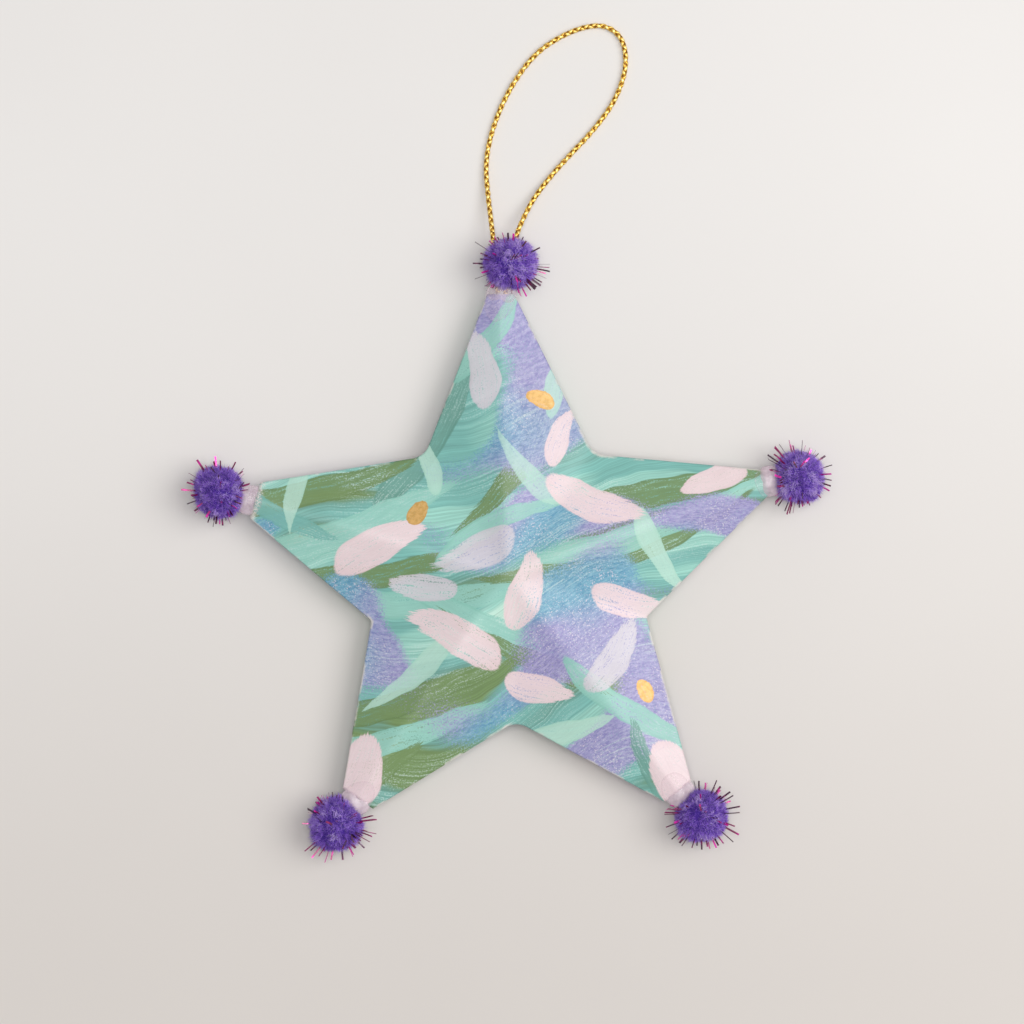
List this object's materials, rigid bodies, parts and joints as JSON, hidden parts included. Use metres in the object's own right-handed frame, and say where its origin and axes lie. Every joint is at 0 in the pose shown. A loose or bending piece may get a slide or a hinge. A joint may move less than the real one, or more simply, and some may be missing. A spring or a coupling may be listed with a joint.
{
  "type": "star ornament",
  "caption": "Folded card star with a raised centre, painted in soft brush strokes, a tinsel pom-pom glued on each tip and a gold cord loop to hang it by.",
  "frame": {"origin": "below the star's centre, in the plane that the five pom-poms rest on", "axes": "+Z out of the painted front, +Y towards the tip that carries the hanging loop, +X to the right seen from the front"},
  "size_m": [0.1425, 0.1808, 0.0155],
  "materials": {
    "painted_card": "brush-painted in mint, teal, olive, lavender and blush, slight sheen",
    "painted_card_back": "brush-painted like the front",
    "hot_glue": "set hot glue, cloudy and rounded",
    "fluff": "short violet acrylic fluff",
    "tinsel": "magenta metallised film strips",
    "thread": "plain thread",
    "gold_cord": "braided metallic cord"
  },
  "bodies": {
    "star": {"front_shell": "painted_card", "back_shell": "painted_card_back", "cord_tails": "gold_cord", "glue_collar_top": "hot_glue", "pompom_top": "fluff", "binding_thread_top": "thread", "tinsel_top": "tinsel", "glue_collar_left": "hot_glue", "pompom_left": "fluff", "binding_thread_left": "thread", "tinsel_left": "tinsel", "glue_collar_lower_left": "hot_glue", "pompom_lower_left": "fluff", "binding_thread_lower_left": "thread", "tinsel_lower_left": "tinsel", "glue_collar_lower_right": "hot_glue", "pompom_lower_right": "fluff", "binding_thread_lower_right": "thread", "tinsel_lower_right": "tinsel", "glue_collar_right": "hot_glue", "pompom_right": "fluff", "binding_thread_right": "thread", "tinsel_right": "tinsel"},
    "loop": {"hanging_loop": "gold_cord"}
  },
  "joints": [
    {"name": "loop_swing", "type": "hinge", "parent": "star", "child": "loop", "pos_m": [0.00151, 0.07456, 0.0034], "axis": [1, 0, 0], "range_deg": [-90, 90]}
  ]
}
